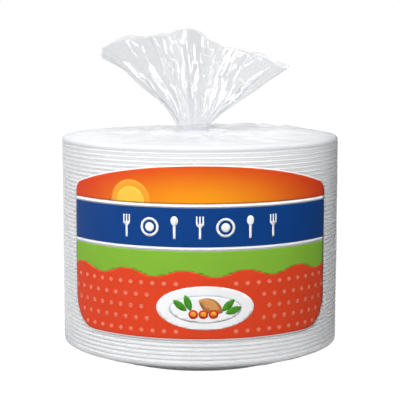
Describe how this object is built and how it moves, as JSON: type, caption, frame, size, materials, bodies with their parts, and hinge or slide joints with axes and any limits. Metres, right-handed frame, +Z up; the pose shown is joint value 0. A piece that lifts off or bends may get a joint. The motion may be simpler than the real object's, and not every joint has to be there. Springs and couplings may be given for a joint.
{
  "type": "stack of foam plates",
  "caption": "Retail pack of nested round foam plates in a clear film bag, gathered to a tied neck with a pleated fan above and a plain printed colour panel in front.",
  "frame": {"origin": "centre of the pack's flat base, on the surface that it stands on", "axes": "+Z up through the stack, -Y towards the printed front, +X to the right seen from the front"},
  "size_m": [0.2264, 0.2271, 0.2725],
  "materials": {
    "foam": "white expanded foam with a fine bead grain and a soft skin",
    "film": "clear glossy packing film, crumpled at the neck",
    "tie": "frosted clear tape band with twisted ends",
    "white_ink": "printed white under glossy film",
    "red_ink": "printed orange red under glossy film",
    "green_ink": "printed leaf green under glossy film",
    "grey_ink": "printed silver grey under glossy film",
    "blue_ink": "printed deep blue under glossy film",
    "dot_ink": "printed pale coral under glossy film",
    "yellow_ink": "printed warm yellow under glossy film"
  },
  "bodies": {
    "root": {"plate_01": "foam", "plate_02": "foam", "plate_03": "foam", "plate_04": "foam", "plate_05": "foam", "plate_06": "foam", "plate_07": "foam", "plate_08": "foam", "plate_09": "foam", "plate_10": "foam", "plate_11": "foam", "plate_12": "foam", "plate_13": "foam", "plate_14": "foam", "plate_15": "foam", "plate_16": "foam", "plate_17": "foam", "plate_18": "foam", "plate_19": "foam", "plate_20": "foam", "plate_21": "foam", "plate_22": "foam", "plate_23": "foam", "plate_24": "foam", "plate_25": "foam", "plate_26": "foam", "plate_27": "foam", "plate_28": "foam", "plate_29": "foam", "plate_30": "foam", "plate_31": "foam", "plate_32": "foam", "plate_33": "foam", "plate_34": "foam", "plate_35": "foam", "plate_36": "foam", "plate_37": "foam", "plate_38": "foam", "plate_39": "foam", "plate_40": "foam", "plate_41": "foam", "plate_42": "foam", "plate_43": "foam", "plate_44": "foam", "plate_45": "foam", "plate_46": "foam", "plate_47": "foam", "plate_48": "foam", "plate_49": "foam", "plate_50": "foam", "bag": "film", "neck_tie": "tie", "print_border": "white_ink", "print_red": "red_ink", "print_green": "green_ink", "print_grey": "grey_ink", "print_blue": "blue_ink", "print_dots": "dot_ink", "print_white": "white_ink", "print_yellow": "yellow_ink"}
  },
  "joints": []
}
